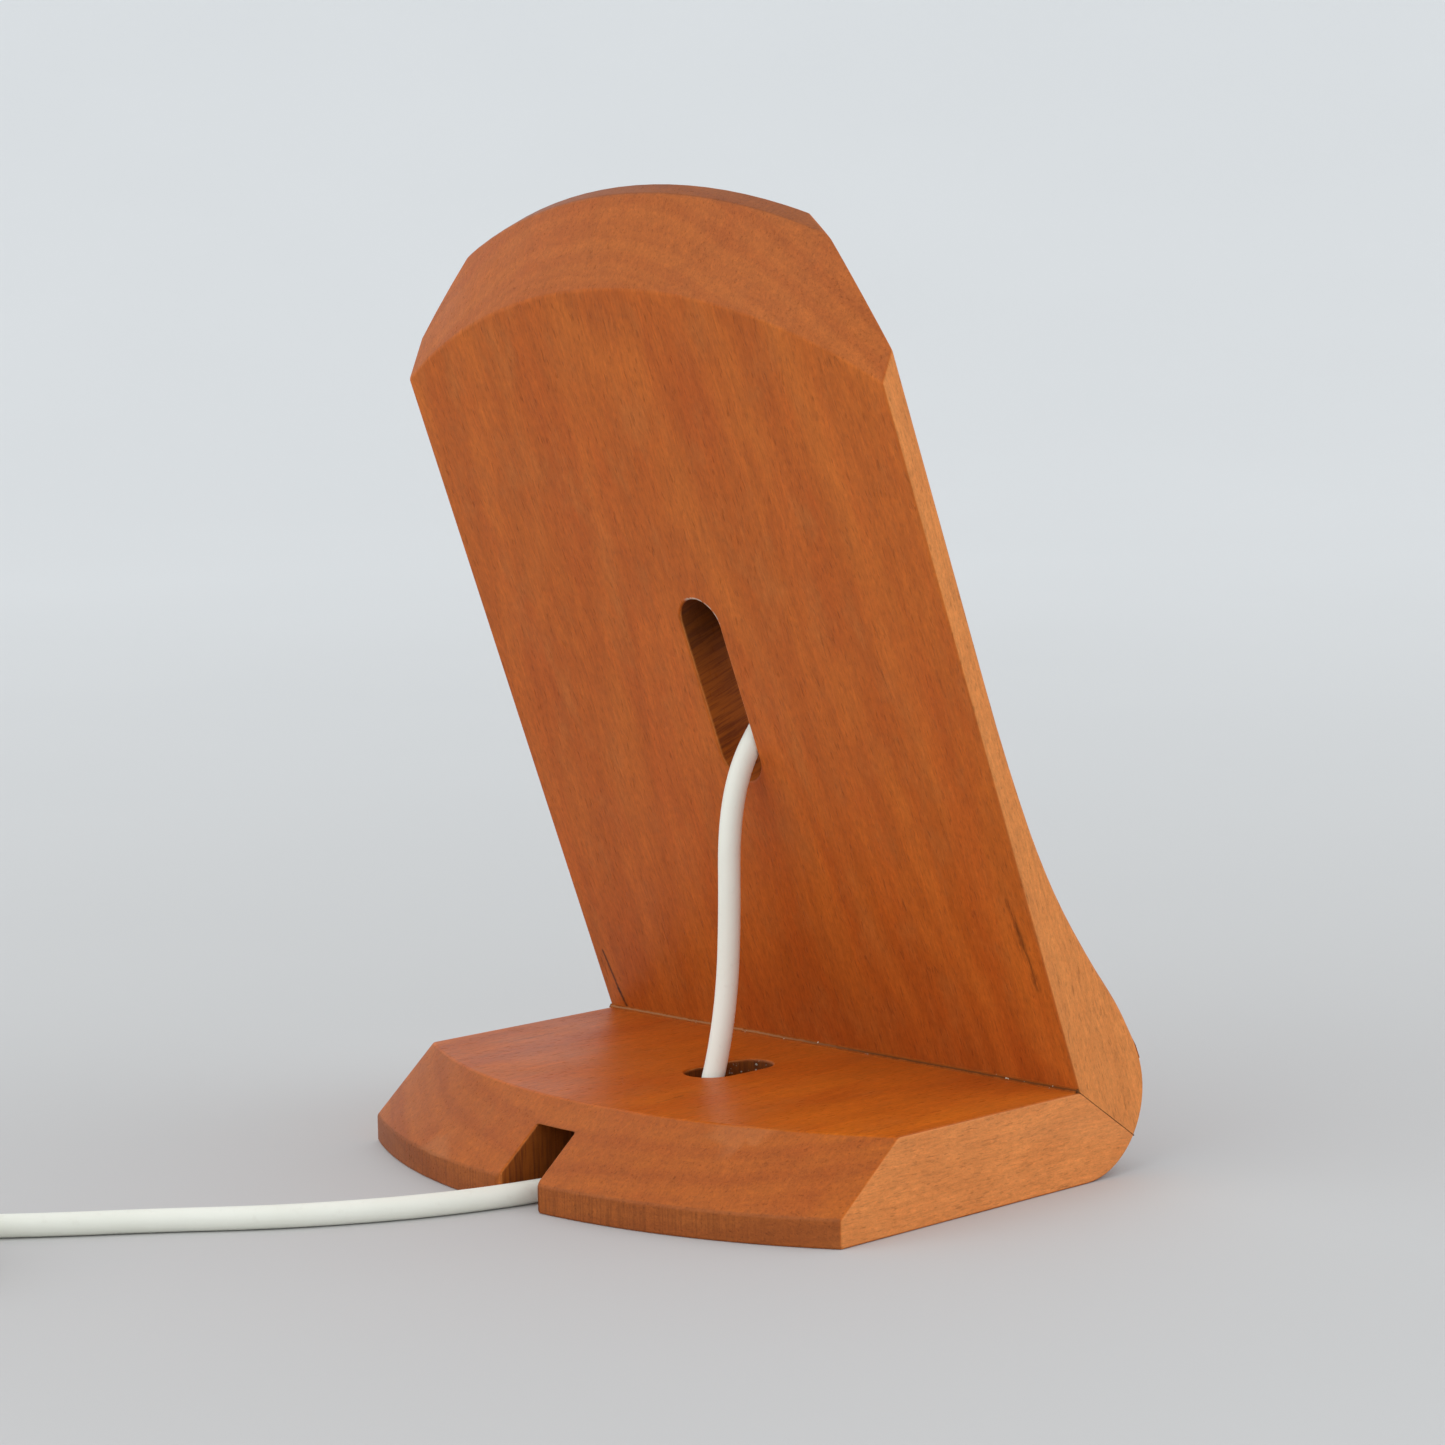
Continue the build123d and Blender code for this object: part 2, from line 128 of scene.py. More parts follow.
for i in range(1, n):
    t = i / PER
    for (t0, r0, z0), (t1, r1, z1) in zip(stops, stops[1:]):
        if t0 <= t <= t1:
            k = (t - t0) / (t1 - t0)
            k = k * k * (3 - 2 * k)
            r, z = r0 + (r1 - r0) * k, z0 + (z1 - z0) * k
            break
    a = A_IN + 360.0 * t
    da = (a - A_TIE + 180) % 360 - 180
    z += 0.42 * math.exp(-(da / 24.0) ** 2)
    z += 0.05 * math.sin(t * 9.1 + 0.4)
    r += 0.10 * math.sin(t * 4.7 + 1.0)
    coil.append(pol(a, r / 0.982, z))
tail = [pol(A_OUT, 15.75, 7.8), pol(A_OUT + 26, 17.6, 7.75), pol(A_OUT + 49, 20.9, 6.6), pol(A_OUT + 69, 23.6, 4.2),
        pol(A_OUT + 87, 25.0, 3.15)]
aa = math.radians(A_OUT + 87 + 84)
pd = Vector((math.cos(aa), math.sin(aa), 0))
tail.append(tuple(Vector(tail[-1]) + pd * 7.0))
points = [tuple(q * MM for q in p) for p in route + coil + tail]

cu = bpy.data.curves.new("charging_lead", "CURVE")
cu.dimensions = "3D"
sp = cu.splines.new("NURBS")
sp.points.add(len(points) - 1)
for p, q in zip(sp.points, points):
    p.co = (*q, 1)
    p.radius = 1.5 * MM                  # the jacket's radius sits on the points, so that the curve's own box is right too
sp.order_u = 3
sp.use_endpoint_u = True
sp.resolution_u = 8
cu.bevel_depth = 1.0
cu.bevel_resolution = 7
cu.use_fill_caps = True
lead = bpy.data.objects.new("charging_lead", cu)
scn.collection.objects.link(lead)
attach(lead, "root")
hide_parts("lead", "lead_coil", "lead_tail")

# ------------------------------------------------------------------ material helpers
class G:
    """One procedural material: a principled shader and the nodes that feed it."""

    def __init__(self, name, rough=0.5, metal=0.0, spec=0.5, **const):
        self.m = bpy.data.materials.new(name)
        self.m.use_nodes = True
        self.t = self.m.node_tree
        self.t.nodes.clear()
        self.out = self.t.nodes.new("ShaderNodeOutputMaterial")
        self.b = self.t.nodes.new("ShaderNodeBsdfPrincipled")
        self.t.links.new(self.b.outputs[0], self.out.inputs[0])
        self.b.inputs["Roughness"].default_value = rough
        self.b.inputs["Metallic"].default_value = metal
        self.b.inputs["Specular IOR Level"].default_value = spec
        for k, v in const.items():
            self.b.inputs[k.replace("_", " ")].default_value = v
        self.tc = self.t.nodes.new("ShaderNodeTexCoord")
        self.obj = self.tc.outputs["Object"]
        self.nrm = self.tc.outputs["Normal"]

    def put(self, sock, v):
        if v is None:
            return
        if isinstance(v, bpy.types.NodeSocket):
            self.t.links.new(v, sock)
        elif sock.type == "RGBA" and len(v) == 3:
            sock.default_value = (*v, 1.0)
        else:
            sock.default_value = v

    def math(self, op, a, b=None, c=None, clamp=False):
        n = self.t.nodes.new("ShaderNodeMath")
        n.operation, n.use_clamp = op, clamp
        for s, v in zip(n.inputs, (a, b, c)):
            self.put(s, v)
        return n.outputs[0]

    def vm(self, op, a, b=None, scale=None):
        n = self.t.nodes.new("ShaderNodeVectorMath")
        n.operation = op
        self.put(n.inputs[0], a)
        self.put(n.inputs[1], b)
        if scale is not None:
            self.put(n.inputs["Scale"], scale)
        return n.outputs[1] if op in ("DOT_PRODUCT", "LENGTH", "DISTANCE") else n.outputs[0]

    def sep(self, v):
        n = self.t.nodes.new("ShaderNodeSeparateXYZ")
        self.put(n.inputs[0], v)
        return n.outputs[0], n.outputs[1], n.outputs[2]

    def comb(self, x=0.0, y=0.0, z=0.0):
        n = self.t.nodes.new("ShaderNodeCombineXYZ")
        for s, v in zip(n.inputs, (x, y, z)):
            self.put(s, v)
        return n.outputs[0]

    def mapping(self, vec, loc=(0, 0, 0), rot=(0, 0, 0), scale=(1, 1, 1)):
        n = self.t.nodes.new("ShaderNodeMapping")
        self.put(n.inputs["Vector"], vec)
        n.inputs["Location"].default_value = loc
        n.inputs["Rotation"].default_value = rot
        n.inputs["Scale"].default_value = scale
        return n.outputs[0]

    def noise(self, vec, scale=1.0, detail=2.0, rough=0.5, dist=0.0, dim="3D", w=None, col=False):
        n = self.t.nodes.new("ShaderNodeTexNoise")
        n.noise_dimensions = dim
        if dim != "1D":
            self.put(n.inputs["Vector"], vec)
        if w is not None:
            self.put(n.inputs["W"], w)
        n.inputs["Scale"].default_value = scale
        n.inputs["Detail"].default_value = detail
        n.inputs["Roughness"].default_value = rough
        n.inputs["Distortion"].default_value = dist
        return n.outputs[1] if col else n.outputs[0]

    def vor(self, vec, scale=1.0, feature="F1", rnd=1.0, out=0):
        n = self.t.nodes.new("ShaderNodeTexVoronoi")
        n.feature = feature
        self.put(n.inputs["Vector"], vec)
        n.inputs["Scale"].default_value = scale
        n.inputs["Randomness"].default_value = rnd
        return n.outputs[out]

    def remap(self, v, a, b, c=0.0, d=1.0, smooth=True):
        n = self.t.nodes.new("ShaderNodeMapRange")
        n.interpolation_type = "SMOOTHSTEP" if smooth else "LINEAR"
        self.put(n.inputs[0], v)
        for i, x in enumerate((a, b, c, d)):
            n.inputs[i + 1].default_value = x
        return n.outputs[0]

    def mix(self, f, a, b, blend="MIX"):
        n = self.t.nodes.new("ShaderNodeMix")
        n.data_type, n.blend_type = "RGBA", blend
        self.put(n.inputs[0], f)
        self.put(n.inputs[6], a)
        self.put(n.inputs[7], b)
        return n.outputs[2]

    def scale_col(self, c, f):
        """Colour times a grey factor."""
        return self.vm("SCALE", c, scale=f)

    def ramp(self, f, stops):
        n = self.t.nodes.new("ShaderNodeValToRGB")
        e = n.color_ramp.elements
        while len(e) < len(stops):
            e.new(0.5)
        for el, (p, c) in zip(e, stops):
            el.position, el.color = p, (*c, 1.0)
        self.put(n.inputs[0], f)
        return n.outputs[0]

    def bump(self, h, strength=0.2, dist=0.0001, normal=None):
        n = self.t.nodes.new("ShaderNodeBump")
        n.inputs["Strength"].default_value = strength
        n.inputs["Distance"].default_value = dist
        self.put(n.inputs["Height"], h)
        if normal is not None:
            self.put(n.inputs["Normal"], normal)
        return n.outputs[0]

    def finish(self, col=None, rough=None, normal=None):
        self.put(self.b.inputs["Base Color"], col)
        self.put(self.b.inputs["Roughness"], rough)
        self.put(self.b.inputs["Normal"], normal)
        return self.m

    def seg(self, p2, a, b):
        """Distance from a flat point (z = 0) to the segment a-b."""
        A, B = Vector((*a, 0)), Vector((*b, 0))
        d = B - A
        rel = self.vm("SUBTRACT", p2, tuple(A))
        t = self.math("DIVIDE", self.vm("DOT_PRODUCT", rel, tuple(d)), d.length_squared, clamp=True)
        return self.vm("LENGTH", self.vm("SUBTRACT", rel, self.vm("SCALE", tuple(d), scale=t)))


def AND(g, *f):
    r = f[0]
    for q in f[1:]:
        r = g.math("MULTIPLY", r, q)
    return r


# ------------------------------------------------------------------ the wood
def wood(name, kind, seed):
    """Satin oiled orange-brown hardwood. Board space in mm: x across, y along the grain, z through the board."""
    g = G(name, rough=0.42, spec=0.20)
    if kind == "upright":
        b = g.mapping(g.obj, scale=(1000, 1000, 1000), loc=(0, -Y0, -T))
        b = g.mapping(b, rot=(-(math.pi / 2 - th), 0, 0))
        gn = (0, s_, c_)
    else:
        b = g.mapping(g.obj, scale=(1000, 1000, 1000), loc=(0, -Y0, 0))
        gn = (0, 1, 0)
    x, y, z = g.sep(b)
    flat = g.comb(x, y, 0.0)
    off = (seed * 37.1, seed * 91.7, seed * 13.3)
    bo = g.vm("ADD", b, off)
    # slow wander of the fibres
    wv = g.noise(g.vm("MULTIPLY", bo, (0.030, 0.011, 0.030)), detail=2.0, rough=0.45, col=True)
    wv = g.vm("MULTIPLY", g.vm("SUBTRACT", wv, (0.5, 0.5, 0.5)), (9.0, 0.0, 7.0))
    bw = g.vm("ADD", bo, wv)
    xw, yw, zw = g.sep(g.vm("SUBTRACT", bw, off))
    # growth rings round a pith far behind the board
    xc, zc = (7.0, -150.0) if kind == "upright" else (-9.0, 170.0)
    r = g.vm("LENGTH", g.comb(g.math("SUBTRACT", xw, xc), 0.0, g.math("SUBTRACT", zw, zc)))
    r = g.math("ADD", r, g.math("MULTIPLY", y, 0.035))
    bands = g.noise(None, scale=0.42, detail=2.5, rough=0.55, dim="1D", w=r)
    fineb = g.noise(None, scale=2.1, detail=2.0, rough=0.5, dim="1D", w=r)
    broad = g.noise(g.vm("MULTIPLY", bw, (0.095, 0.026, 0.095)), detail=4.0, rough=0.6)
    streak = g.noise(g.vm("MULTIPLY", bw, (0.60, 0.060, 0.60)), detail=3.0, rough=0.6)
    fibre = g.noise(g.vm("MULTIPLY", bw, (2.5, 0.24, 2.5)), detail=3.5, rough=0.72)
    mott = g.noise(g.vm("MULTIPLY", bo, (0.20, 0.10, 0.20)), detail=4.0, rough=0.65)
    pores = g.noise(g.vm("MULTIPLY", bw, (3.2, 0.52, 3.2)), detail=1.5, rough=0.5)
    grit = g.noise(g.vm("MULTIPLY", bo, (1.9, 0.95, 1.9)), detail=3.0, rough=0.75)
    # how far a surface cuts across the fibres, and whether it is a side face
    na = g.math("ABSOLUTE", g.vm("DOT_PRODUCT", g.nrm, gn))
    end = g.remap(na, 0.35, 0.85)
    side = g.remap(g.math("ABSOLUTE", g.vm("DOT_PRODUCT", g.nrm, (1, 0, 0))), 0.72, 0.97)

    light, dark = TONES[kind]["light"], TONES[kind]["dark"]
    red, tan, endc, side_lit_tone = TONES[kind]["red"], TONES[kind]["tan"], TONES[kind]["end"], TONES[kind]["side"]
    col = g.mix(g.remap(g.math("ADD", g.math("MULTIPLY", bands, 0.55), g.math("MULTIPLY", mott, 0.45)), 0.34, 0.66, 0.05, 0.90), light, dark)
    col = g.mix(g.math("MULTIPLY", g.remap(broad, 0.44, 0.70), 0.50), col, red)
    col = g.mix(g.math("MULTIPLY", g.remap(mott, 0.46, 0.74), 0.55), col, tan)
    col = g.mix(g.math("MULTIPLY", end, 0.86), col, g.mix(g.remap(g.math("ADD", g.math("MULTIPLY", bands, 0.5), g.math("MULTIPLY", broad, 0.5)), 0.34, 0.64), endc, g.vm("MULTIPLY", endc, (0.91, 0.87, 0.86))))
    # side faces take a lighter tone: partly their quarter-sawn grain, partly painted light, as lit from the right
    col = g.mix(g.math("MULTIPLY", side, 0.85), col, g.mix(g.remap(mott, 0.35, 0.68), side_lit_tone, g.vm("MULTIPLY", side_lit_tone, (0.94, 0.90, 0.86))))
    val = g.remap(streak, 0.25, 0.75, 1.07, 0.91, smooth=False)
    val = g.math("MULTIPLY", val, g.remap(fineb, 0.25, 0.75, 1.03, 0.965, smooth=False))
    val = g.math("MULTIPLY", val, g.remap(fibre, 0.25, 0.75, 1.14, 0.86, smooth=False))
    val = g.math("MULTIPLY", val, g.remap(grit, 0.25, 0.75, 1.13, 0.87, smooth=False))
    # short dark vessel lines, denser in the darker bands
    pm = g.remap(g.math("ADD", pores, g.math("MULTIPLY", bands, 0.06)), 0.665, 0.735)
    val = g.math("MULTIPLY", val, g.math("SUBTRACT", 1.0, g.math("MULTIPLY", pm, 0.20)))
    p2 = g.remap(g.noise(g.vm("MULTIPLY", bw, (4.6, 0.80, 4.6)), detail=1.5, rough=0.5), 0.56, 0.66)
    val = g.math("MULTIPLY", val, g.math("SUBTRACT", 1.0, g.math("MULTIPLY", p2, 0.13)))
    # dots and dashes of the vessels on the side faces
    pside = g.remap(g.noise(g.vm("MULTIPLY", g.mapping(bo, rot=(math.radians(-30 if kind == "base" else 24), 0, 0)), (4.2, 2.6, 4.8)), detail=2.5, rough=0.65), 0.46, 0.66)
    # rays and saw marks down the cut ends
    rays = g.noise(g.vm("MULTIPLY", bo, (2.9, 0.25, 0.10)), detail=3.0, rough=0.65)
    strip = g.math("MULTIPLY", g.remap(na, 0.86, 0.96), 0.25 if kind == "upright" else 1.0)
    val = g.math("MULTIPLY", val, g.math("SUBTRACT", 1.0, AND(g, strip, g.remap(rays, 0.42, 0.68), 0.24)))
    if kind == "upright":
        val = g.math("MULTIPLY", val, g.remap(na, 0.86, 0.96, 1.0, 0.70))
        # painted shade: the rear face darkened by up to a tenth towards its foot, by the inner corner with the base
        val = g.math("MULTIPLY", val, g.math("SUBTRACT", 1.0, AND(g, g.remap(y, 6.0, 30.0, 1.0, 0.0), g.remap(x, -34.0, -10.0), g.remap(z, 0.4, 0.9, 1.0, 0.0), 0.10)))
    else:
        val = g.math("MULTIPLY", val, g.math("SUBTRACT", 1.0, AND(g, end, g.remap(x, 4.0, 40.0), 0.22)))
    col = g.mix(AND(g, pside, side, 0.28), col, g.vm("MULTIPLY", side_lit_tone, (0.76, 0.54, 0.38)))
    col = g.scale_col(col, val)

    # marks that this piece of wood has
    jit = g.math("MULTIPLY", g.math("SUBTRACT", g.noise(bo, scale=0.9, detail=2.0), 0.5), 0.5)
    for (a, c, w, amt, face) in MARKS[kind]:
        dd = g.math("ADD", g.seg(flat, a, c), g.math("ABSOLUTE", jit))
        near = g.remap(dd, 0.0, w, 1.0, 0.0)
        gate = g.remap(z, 0.4, 0.9, 1.0, 0.0) if kind == "upright" else g.remap(z, T - 0.9, T - 0.4)
        if face == "soft":
            near = g.math("MULTIPLY", near, g.remap(fibre, 0.30, 0.62))
        col = g.mix(AND(g, near, gate, amt), col, (0.035, 0.012, 0.004))

    hw = SLOT_W / 2
    if kind == "upright":
        chip = g.noise(bo, scale=1.7, detail=3.0, rough=0.7)
        ds = g.seg(flat, (XC, SLOT_LO + hw), (XC, SLOT_HI - hw))
        wall = AND(g, g.remap(ds, hw + 0.02, hw + 0.16, 1.0, 0.0), g.remap(z, 0.10, 0.55))
        rim = AND(g, g.remap(ds, hw - 0.28, hw - 0.10), g.remap(ds, hw + 0.30, hw + 0.44, 1.0, 0.0),
                  g.remap(z, 0.35, 0.6, 1.0, 0.0), g.remap(y, SLOT_HI - hw - 0.2, SLOT_HI - hw + 1.0),
                  g.remap(chip, 0.45, 0.52), g.remap(x, XC + 0.6, XC + 1.9, 1.0, 0.0))
        topburn = g.remap(y, 52.0, 66.0)
    else:
        ds = g.seg(flat, (XC, BS_LO + hw), (XC, BS_HI - hw))
        wall = AND(g, g.remap(ds, hw + 0.02, hw + 0.16, 1.0, 0.0), g.remap(z, T - 0.55, T - 0.10, 1.0, 0.0))
        ax = g.math("ABSOLUTE", g.math("SUBTRACT", x, XC))
        groove = AND(g, g.remap(ax, hw + 0.0, hw + 0.10, 1.0, 0.0), g.remap(z, 9.32, 9.5, 1.0, 0.0), g.remap(y, 8.0, 10.0))
        wall = g.math("MAXIMUM", wall, groove)
        rim = AND(g, wall, g.remap(y, 12.0, 20.0, 1.0, 0.0), g.remap(g.noise(bo, scale=1.9, detail=1.5, rough=0.6), 0.66, 0.69))
        topburn = g.remap(y, 26.0, 60.0, 0.85, 0.35)
    cut = g.noise(g.vm("MULTIPLY", bo, (1.0, 2.1, 0.16)), detail=3.0, rough=0.6)
    raw = g.mix(g.remap(cut, 0.35, 0.68), (0.420, 0.098, 0.005), (0.200, 0.038, 0.002))
    raw = g.mix(g.math("MULTIPLY", topburn, 0.62), raw, (0.034, 0.012, 0.004))
    col = g.mix(g.math("MULTIPLY", wall, 0.93), col, raw)
    col = g.mix(g.math("MULTIPLY", rim, 0.85), col, (0.60, 0.54, 0.44))
    # a touch lighter along the sharp convex edges
    geo = g.t.nodes.new("ShaderNodeNewGeometry")
    edge = g.remap(geo.outputs["Pointiness"], 0.515, 0.60)
    col = g.mix(g.math("MULTIPLY", edge, 0.16), col, (0.62, 0.27, 0.11))

    rough = g.remap(g.noise(bo, scale=0.05, detail=3.0), 0.3, 0.7, 0.40, 0.50, smooth=False)
    rough = g.math("ADD", rough, g.math("MULTIPLY", pm, 0.16))
    rough = g.math("ADD", rough, g.math("MULTIPLY", end, 0.07))
    rough = g.math("ADD", rough, g.math("MULTIPLY", wall, 0.25))
    h = g.math("ADD", g.math("MULTIPLY", fibre, 0.35), g.math("MULTIPLY", pm, -0.8))
    h = g.math("ADD", h, g.math("MULTIPLY", grit, 0.25))
    h = g.math("ADD", h, AND(g, strip, rays, 0.8))
    h = g.math("ADD", h, AND(g, wall, cut, 2.2))
    nb = g.bump(h, strength=0.32, dist=0.00011)
    return g.finish(col, rough, nb)


BS_LO, BS_HI = 11.9, 25.7
SLOT_LO, SLOT_HI = 40.9, 67.6
# side: the side faces' tone, lighter partly for their grain and partly as painted light from the right
TONES = {
    "upright": dict(light=(0.585, 0.147, 0.018), dark=(0.455, 0.093, 0.009), red=(0.480, 0.084, 0.009),
                    tan=(0.550, 0.161, 0.029), end=(0.430, 0.114, 0.021), side=(0.800, 0.286, 0.069)),
    "base": dict(light=(0.592, 0.141, 0.009), dark=(0.455, 0.090, 0.005), red=(0.465, 0.080, 0.005),
                 tan=(0.555, 0.149, 0.018), end=(0.365, 0.099, 0.020), side=(0.845, 0.304, 0.081)),
}
MARKS = {
    "upright": [((42.9, 9.6), (42.0, 3.0), 0.42, 0.85, "hard"), ((42.1, 3.4), (41.3, -0.2), 0.52, 0.95, "hard"),
                ((-41.7, 27.5), (-42.8, 15.0), 0.85, 0.62, "soft"), ((-41.0, 24.0), (-41.6, 19.0), 0.5, 0.35, "soft"),
                ((-40.5, 60.0), (-40.7, 56.6), 0.5, 0.35, "soft"), ((-5.6, 80.4), (-5.2, 76.0), 0.45, 0.20, "soft")],
    "base": [((-7.9, 39.8), (-7.5, 35.0), 0.42, 0.5, "soft"), ((36.6, 26.9), (36.9, 18.4), 0.34, 0.50, "soft")],
}
wood_up = wood("cherry_upright", "upright", 1.0)
wood_base = wood("cherry_base", "base", 2.0)


# ------------------------------------------------------------------ the boards with eased edges
def mitre_dist(p):
    return (p.y - Y0 * MM) * mit_n[1] + (p.z - T * MM) * mit_n[2]


_ml = math.hypot(c_, 1 + s_)
mit_n = (0.0, -c_ / _ml, (1 + s_) / _ml)


def front_crease(e, angle):
    """Shallow creases and the puck's recess on the phone side: they stay as sharp as the CAD has them."""
    for v in e.verts:
        p = v.co / MM
        if abs(-(p.y - Y0) * c_ + (p.z - T) * s_ - TU) > 0.03:
            return False
    if any(abs(v.co.x / MM) > 33.5 for v in e.verts):
        return False
    rr = [math.hypot(v.co.x / MM - XC, (v.co.y / MM - Y0) * s_ + (v.co.z / MM - T) * c_ - 86.0) for v in e.verts]
    return angle < 40.0 or all(abs(q - 28.3) < 0.08 for q in rr)


def soften(node, mat, width, limit=20.0, special=(), keep=None):
    bm = bmesh.new()
    bm.from_mesh(N[node].data)
    bmesh.ops.remove_doubles(bm, verts=bm.verts, dist=3e-6)
    bmesh.ops.dissolve_limit(bm, angle_limit=math.radians(0.06), use_dissolve_boundaries=False,
                             verts=bm.verts, edges=bm.edges, delimit=set())
    bmesh.ops.recalc_face_normals(bm, faces=bm.faces)
    for pick, w, seg in special:
        es = [e for e in bm.edges if len(e.link_faces) == 2 and pick(e)]
        if es:
            bmesh.ops.bevel(bm, geom=es, offset=w, offset_type="OFFSET", segments=seg, profile=0.5,
                            affect="EDGES", clamp_overlap=True)
    tree = BVHTree.FromBMesh(bm)
    es = [e for e in bm.edges if len(e.link_faces) == 2 and math.degrees(e.calc_face_angle()) > limit
          and not all(abs(mitre_dist(v.co)) < 0.12 * MM for v in e.verts)
          and not (keep and keep(e, math.degrees(e.calc_face_angle())))]
    bmesh.ops.bevel(bm, geom=es, offset=width, offset_type="OFFSET", segments=3, profile=0.5,
                    affect="EDGES", clamp_overlap=False, miter_outer="ARC", miter_inner="SHARP")
    stray = 0
    for v in bm.verts:
        q, _n, _i, dist = tree.find_nearest(v.co)
        if dist > 0.5 * width and (v.co - q).length > 0.5 * width:
            stray += 1
            v.co = q
        v.co.x = max(-0.045, min(0.045, v.co.x))
    print("strays", stray)
    bmesh.ops.remove_doubles(bm, verts=bm.verts, dist=1e-6)
    bad = [e for e in bm.edges if len(e.link_faces) != 2]
    print(node, "faces", len(bm.faces), "open edges", len(bad))
    for e in bm.edges:
        if len(e.link_faces) == 2:
            angle = math.degrees(e.calc_face_angle())
            if angle > 33.0 or (keep and angle > 12.0 and keep(e, angle)):
                e.smooth = False
    me = bpy.data.meshes.new(node + "_eased")
    bm.to_mesh(me)
    bm.free()
    me.polygons.foreach_set("use_smooth", [True] * len(me.polygons))
    o = bpy.data.objects.new(node + "_eased", me)
    scn.collection.objects.link(o)
    me.materials.append(mat)
    wn = o.modifiers.new("weighted", "WEIGHTED_NORMAL")
    wn.weight, wn.keep_sharp, wn.mode = 100, True, "FACE_AREA"
    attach(o, "root")
    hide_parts(node)
    return o


def notch_edge(e):
    """The two upright edges where the groove meets the end of the base."""
    a, b = e.verts[0].co / MM, e.verts[1].co / MM
    return (abs(a.x - b.x) < 0.01 and abs(a.y - b.y) < 0.05 and abs(a.z - b.z) > 1.0 and a.y > 20
            and min(abs(a.x - (XC - SLOT_W / 2)), abs(a.x - (XC + SLOT_W / 2))) < 0.05)


upright_o = soften("upright_board", wood_up, 0.36 * MM, keep=front_crease)
base_o = soften("base_board", wood_base, 0.34 * MM, special=[(notch_edge, 0.75 * MM, 4)])

# ------------------------------------------------------------------ the other materials
def glue_mat():
    g = G("wood_glue", rough=0.75, spec=0.06)
    p = g.mapping(g.obj, scale=(1000, 1000, 1000))
    x, y, z = g.sep(p)
    n = g.noise(p, scale=0.9, detail=3.0, rough=0.6)
    # across the bead: 0 at the base, 1 at the upright
    B0 = Vector((0, 0.55 + Y0, T))
    D = Vector((0, 0.55 * s_ + Y0, T + 0.55 * c_)) - B0
    u = g.math("DIVIDE", g.vm("DOT_PRODUCT", g.vm("SUBTRACT", p, tuple(B0)), (0.0, D.y, D.z)), D.length_squared)
    u = g.math("ADD", u, g.math("MULTIPLY", g.math("SUBTRACT", n, 0.5), 0.5))
    line = AND(g, g.remap(u, 0.18, 0.42), g.remap(u, 0.58, 0.82, 1.0, 0.0))
    wood_c = g.mix(g.remap(n, 0.35, 0.65), (0.340, 0.082, 0.009), (0.270, 0.060, 0.006))
    line_c = g.mix(g.remap(x, -12.0, 16.0), (0.120, 0.038, 0.008), (0.360, 0.165, 0.070))
    col = g.mix(g.math("MULTIPLY", line, 0.85), wood_c, line_c)
    dust = g.remap(g.noise(p, scale=1.15, detail=2.0, rough=0.7), 0.70, 0.75)
    col = g.mix(dust, col, (0.72, 0.64, 0.50))
    outer = g.remap(g.math("ABSOLUTE", x), 44.6, 44.95)
    col = g.mix(outer, col, g.mix(g.remap(n, 0.4, 0.6), (0.075, 0.026, 0.007), (0.190, 0.070, 0.020)))
    return g.finish(col, g.remap(n, 0.3, 0.7, 0.52, 0.68), g.bump(n, 0.5, 0.0003))


def plastic(name, c, c2, rough, speck=0.0, spec=0.5, grain=14.0, bump=0.12, **k):
    g = G(name, rough=rough, spec=spec, **k)
    p = g.mapping(g.obj, scale=(1000, 1000, 1000))
    n = g.noise(p, scale=0.12, detail=3.0, rough=0.55)
    f = g.noise(p, scale=grain, detail=2.0, rough=0.6)
    col = g.mix(g.remap(n, 0.35, 0.65), c, c2)
    if speck:
        col = g.mix(g.math("MULTIPLY", g.remap(f, 0.66, 0.72), speck), col, tuple(q * 0.6 for q in c))
    rr = g.math("ADD", g.remap(n, 0.3, 0.7, rough - 0.05, rough + 0.07, smooth=False), g.math("MULTIPLY", f, 0.04))
    return g.finish(col, rr, g.bump(f, bump, 0.00004))


def lead_mat():
    g = G("lead_white", rough=0.42, spec=0.42)
    p = g.mapping(g.obj, scale=(1000, 1000, 1000))
    n = g.noise(p, scale=0.07, detail=3.0, rough=0.5)
    m = g.noise(p, scale=0.8, detail=3.0, rough=0.6)
    f = g.noise(p, scale=7.0, detail=2.0, rough=0.6)
    col = g.mix(g.remap(n, 0.35, 0.65), (0.900, 0.905, 0.815), (0.870, 0.875, 0.780))
    col = g.mix(g.math("MULTIPLY", g.remap(m, 0.58, 0.72), 0.22), col, (0.74, 0.72, 0.63))
    rr = g.math("ADD", g.remap(m, 0.3, 0.7, 0.36, 0.48, smooth=False), g.math("MULTIPLY", f, 0.05))
    h = g.math("ADD", f, g.math("MULTIPLY", m, 2.0))
    return g.finish(col, rr, g.bump(h, 0.14, 0.00006))


def metal(name, c, rough, stretch, amt=0.12, bump=0.15, scale=1.0):
    g = G(name, rough=rough, metal=1.0)
    p = g.mapping(g.obj, scale=(1000, 1000, 1000))
    n = g.noise(g.vm("MULTIPLY", p, stretch), scale=scale, detail=4.0, rough=0.65)
    w = g.noise(p, scale=0.15, detail=3.0)
    v = g.math("MULTIPLY", g.remap(n, 0.25, 0.75, 1.0 - amt, 1.0 + amt * 0.5, smooth=False), g.remap(w, 0.3, 0.7, 0.96, 1.02))
    col = g.scale_col(g.mix(0.0, c, c), v)
    rr = g.remap(n, 0.3, 0.7, rough - 0.06, rough + 0.1, smooth=False)
    return g.finish(col, rr, g.bump(n, bump, 0.00003))


